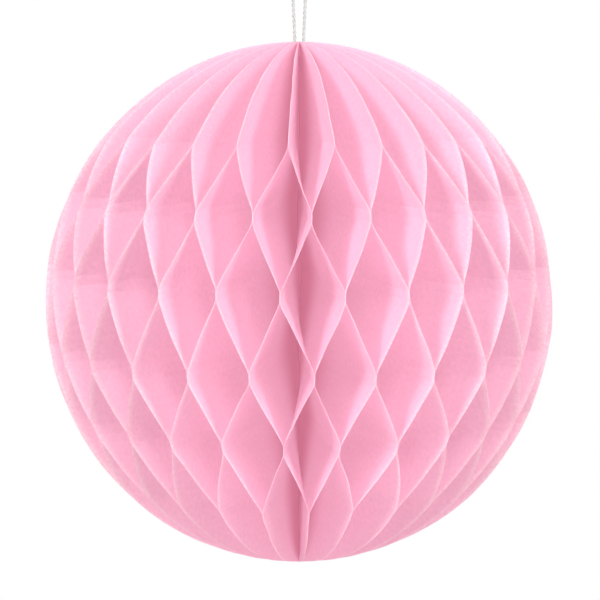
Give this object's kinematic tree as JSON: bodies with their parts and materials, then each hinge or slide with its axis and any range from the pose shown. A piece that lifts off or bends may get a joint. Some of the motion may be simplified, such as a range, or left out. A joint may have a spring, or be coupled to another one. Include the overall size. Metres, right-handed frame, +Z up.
{
  "type": "honeycomb paper ball",
  "caption": "Hanging ball of half-disc tissue leaves, bound at a spine and glued in alternating stripes so that they fan out into diamond cells, with a cord loop at the top.",
  "frame": {"origin": "hanging point, on the underside of the cord at the top of its loop", "axes": "+Z up along the bound spine through both poles of the ball; the front, with the seam, faces -Y; the cord loop lies in the XZ plane"},
  "size_m": [0.2, 0.2, 0.2791],
  "materials": {
    "tissue": "matt pink tissue paper, thin enough to let light through",
    "glue": "paper edges soaked with dried glue",
    "cotton": "white twisted cotton cord"
  },
  "bodies": {
    "root": {"leaf_01": "tissue", "leaf_02": "tissue", "leaf_03": "tissue", "leaf_04": "tissue", "leaf_05": "tissue", "leaf_06": "tissue", "leaf_07": "tissue", "leaf_08": "tissue", "leaf_09": "tissue", "leaf_10": "tissue", "leaf_11": "tissue", "leaf_12": "tissue", "leaf_13": "tissue", "leaf_14": "tissue", "leaf_15": "tissue", "leaf_16": "tissue", "leaf_17": "tissue", "leaf_18": "tissue", "leaf_19": "tissue", "leaf_20": "tissue", "leaf_21": "tissue", "leaf_22": "tissue", "leaf_23": "tissue", "leaf_24": "tissue", "leaf_25": "tissue", "leaf_26": "tissue", "leaf_27": "tissue", "leaf_28": "tissue", "leaf_29": "tissue", "leaf_30": "tissue", "leaf_31": "tissue", "leaf_32": "tissue", "leaf_33": "tissue", "leaf_34": "tissue", "leaf_35": "tissue", "leaf_36": "tissue", "leaf_37": "tissue", "leaf_38": "tissue", "leaf_39": "tissue", "leaf_40": "tissue", "leaf_41": "tissue", "leaf_42": "tissue", "leaf_43": "tissue", "leaf_44": "tissue", "leaf_45": "tissue", "leaf_46": "tissue", "leaf_47": "tissue", "leaf_48": "tissue", "leaf_49": "tissue", "leaf_50": "tissue", "leaf_51": "tissue", "leaf_52": "tissue", "bound_spine": "glue", "cord_knot": "cotton", "hanging_cord": "cotton"}
  },
  "joints": []
}
